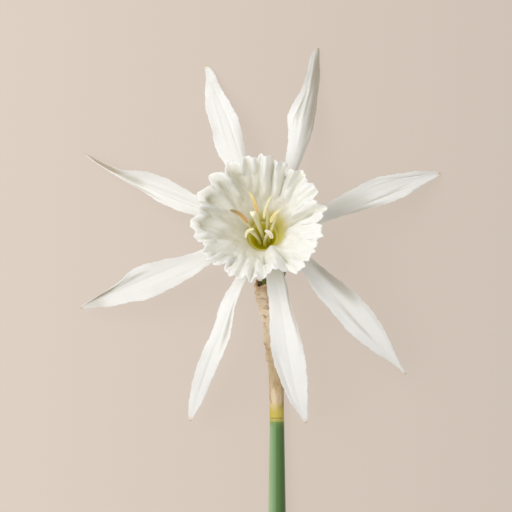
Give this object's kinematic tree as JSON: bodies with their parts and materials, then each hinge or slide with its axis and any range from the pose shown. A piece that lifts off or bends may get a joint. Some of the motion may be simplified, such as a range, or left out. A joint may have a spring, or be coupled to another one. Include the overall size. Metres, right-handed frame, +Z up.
{
  "type": "sea daffodil flower",
  "caption": "Single picked white coastal lily bloom lying face up: long narrow petals, frilled cup with green throat, yellow anthers, papery sheath and cut green stem.",
  "frame": {"origin": "middle of the flower's footprint, on the surface it lies on", "axes": "+Z up from the surface, out of the open face of the cup; +Y along the stem, from its cut end to the flower; +X to the right as seen from above with the flower at the top"},
  "size_m": [0.1031, 0.1658, 0.0391],
  "materials": {
    "petal": "soft satin, thin enough to glow",
    "cup": "soft satin, thin enough to glow",
    "tube": "waxy",
    "sheath": "dry, papery",
    "stem": "waxy, with a pale bloom",
    "filament": "satin",
    "anther": "powdery"
  },
  "bodies": {
    "root": {"petal_1": "petal", "petal_2": "petal", "petal_3": "petal", "petal_4": "petal", "petal_5": "petal", "petal_6": "petal", "petal_7": "petal", "petal_8": "petal", "cup": "cup", "tube": "tube", "sheath": "sheath", "stem": "stem", "style": "filament", "filament_1": "filament", "filament_2": "filament", "filament_3": "filament", "filament_4": "filament", "filament_5": "filament", "filament_6": "filament", "anther_1": "anther", "anther_2": "anther", "anther_3": "anther", "anther_4": "anther", "anther_5": "anther", "anther_6": "anther"}
  },
  "joints": []
}
